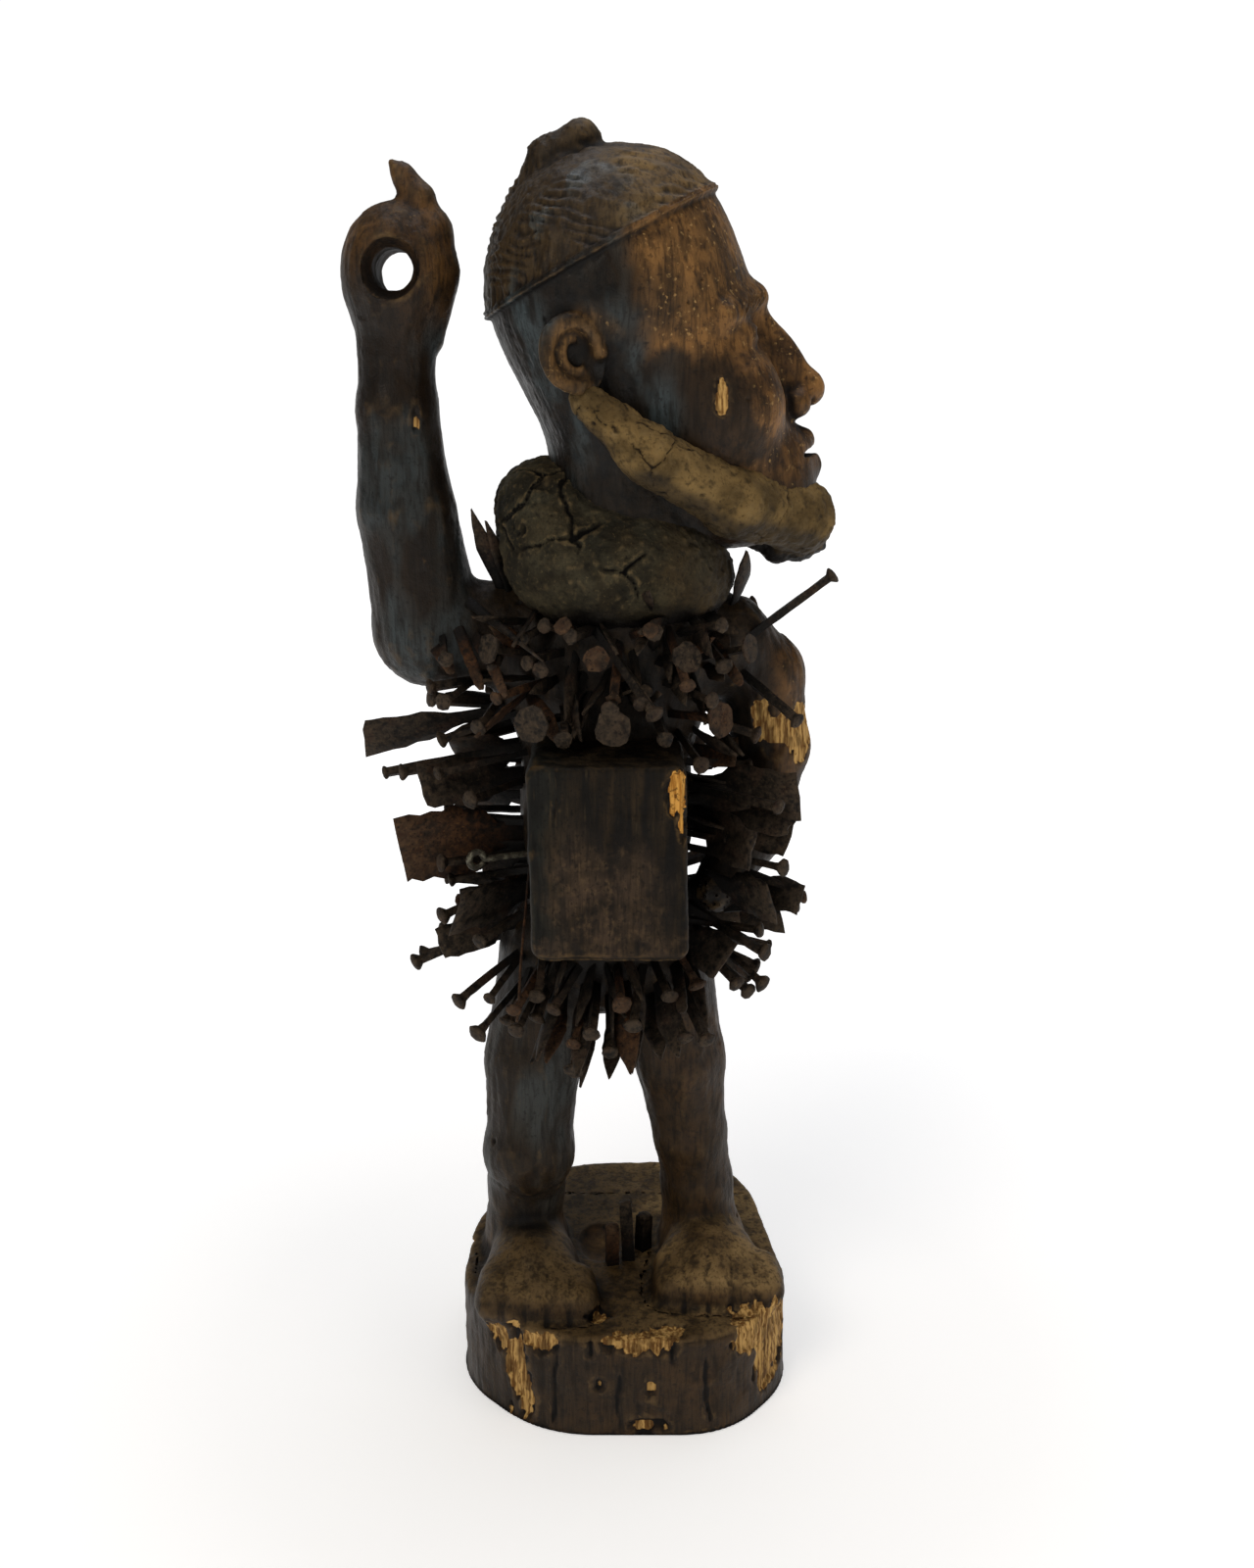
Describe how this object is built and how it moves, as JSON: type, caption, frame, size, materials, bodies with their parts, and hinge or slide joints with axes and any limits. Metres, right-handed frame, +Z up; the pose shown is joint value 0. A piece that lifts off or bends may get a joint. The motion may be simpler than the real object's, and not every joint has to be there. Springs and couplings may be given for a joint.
{
  "type": "nkisi nkondi figure",
  "caption": "Standing carved wood figure on a block, one arm raised with a pierced fist, clay collar and beard, medicine box on the belly and forged nails and blades driven in all round.",
  "frame": {"origin": "centre of the block's underside, which the figure stands on", "axes": "+Z up along the figure; -Y is the side its body and box face; +X is its left, where the head is turned"},
  "size_m": [0.3223, 0.2557, 0.8778],
  "materials": {
    "carved_wood": "hand-carved hardwood, dark smoke and resin patina, worn and chipped",
    "resin_clay": "dry crusted clay and resin with cracks",
    "box_wood": "dark worn wood with rounded edges",
    "forged_iron": "hand-forged, dark oxide",
    "rusted_iron": "hand-forged, brown rust"
  },
  "bodies": {
    "root": {"figure": "carved_wood", "clay_collar": "resin_clay", "clay_beard": "resin_clay", "medicine_box": "box_wood", "nail_01": "forged_iron", "nail_02": "rusted_iron", "nail_03": "forged_iron", "nail_04": "forged_iron", "disc_05": "forged_iron", "disc_06": "rusted_iron", "disc_07": "forged_iron", "disc_08": "forged_iron", "nail_09": "forged_iron", "nail_10": "rusted_iron", "nail_11": "forged_iron", "nail_12": "forged_iron", "nail_13": "forged_iron", "blade_14": "rusted_iron", "blade_15": "forged_iron", "disc_16": "forged_iron", "disc_17": "forged_iron", "disc_18": "rusted_iron", "plate_19": "forged_iron", "nail_20": "forged_iron", "nail_21": "forged_iron", "nail_22": "rusted_iron", "nail_23": "forged_iron", "nail_24": "forged_iron", "plate_25": "forged_iron", "nail_26": "rusted_iron", "plate_27": "forged_iron", "eye_28": "forged_iron", "nail_29": "forged_iron", "nail_30": "rusted_iron", "nail_31": "forged_iron", "nail_32": "forged_iron", "plate_33": "forged_iron", "nail_34": "rusted_iron", "nail_35": "forged_iron", "nail_36": "forged_iron", "nail_37": "forged_iron", "nail_38": "rusted_iron", "nail_39": "forged_iron", "blade_40": "forged_iron", "blade_41": "forged_iron", "blade_42": "rusted_iron", "blade_43": "forged_iron", "nail_44": "forged_iron", "nail_45": "forged_iron", "blade_46": "rusted_iron", "nail_47": "forged_iron", "disc_48": "forged_iron", "nail_49": "forged_iron", "blade_50": "rusted_iron", "nail_51": "forged_iron", "disc_52": "forged_iron", "nail_53": "forged_iron", "peg_1": "rusted_iron", "peg_2": "forged_iron", "peg_3": "forged_iron"}
  },
  "joints": []
}
